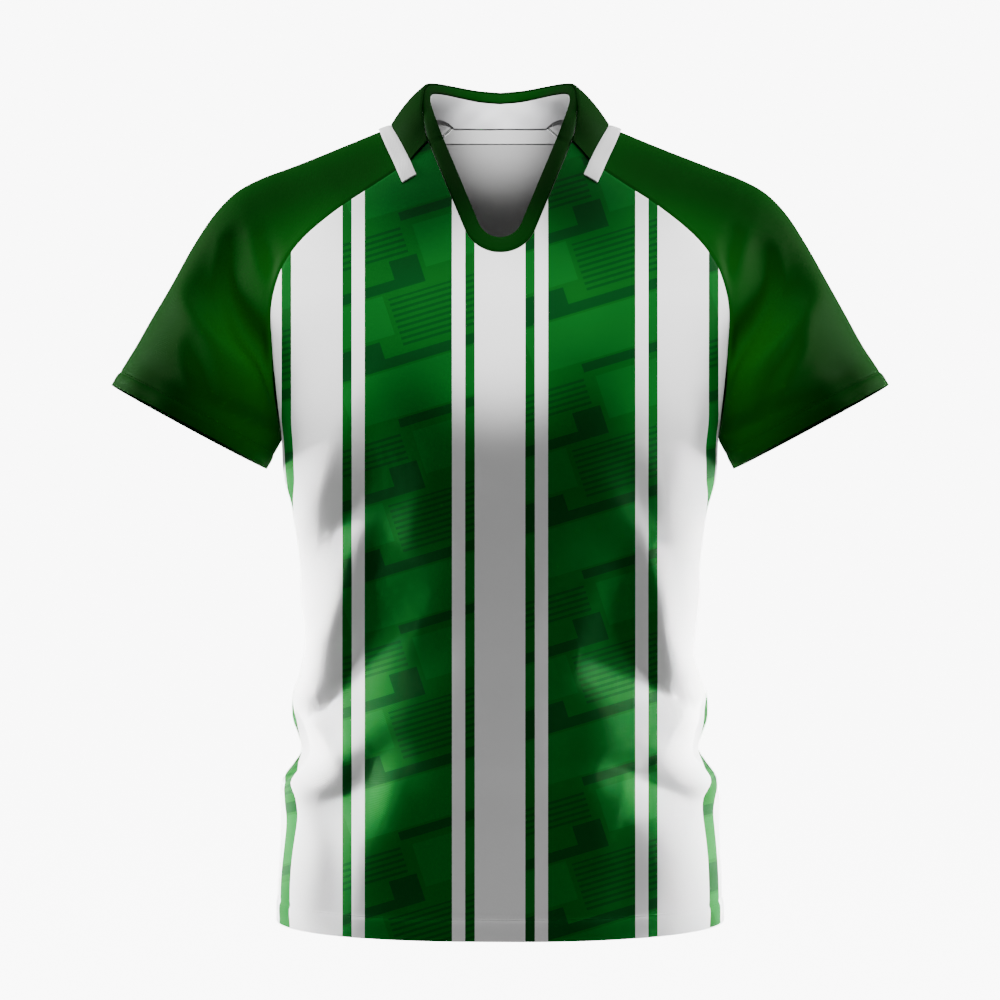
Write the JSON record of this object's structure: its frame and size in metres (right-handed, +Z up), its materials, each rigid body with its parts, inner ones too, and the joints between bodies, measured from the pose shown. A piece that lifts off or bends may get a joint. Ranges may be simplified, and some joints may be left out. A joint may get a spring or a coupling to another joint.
{
  "type": "rugby shirt",
  "caption": "Short-sleeved striped shirt filled out as worn: front, back, raglan sleeves, turned-down collar with a white edge, U neck.",
  "frame": {"origin": "middle of the neck, level with the tops of the shoulders, where the shirt hangs on its wearer", "axes": "+Z up, the front faces -Y, +X towards the wearer's left sleeve"},
  "size_m": [0.6694, 0.2537, 0.7211],
  "materials": {
    "print_front": "fine polyester knit, green and white lengthways stripes with a tonal pattern, slight satin sheen",
    "print_back": "fine polyester knit, green and white lengthways stripes with a tonal pattern, slight satin sheen",
    "sleeve_green": "fine polyester knit, plain dark green, slight satin sheen",
    "collar_green": "close rib knit, plain dark green",
    "trim_white": "flat white knit tape, stitched at its edges",
    "stand_white": "smooth white satin knit"
  },
  "bodies": {
    "root": {"front": "print_front", "back": "print_back", "sleeve_left": "sleeve_green", "sleeve_right": "sleeve_green", "collar_leaf": "collar_green", "collar_strip": "trim_white", "neck_binding": "collar_green", "collar_stand": "stand_white", "neck_tape": "trim_white"}
  },
  "joints": []
}
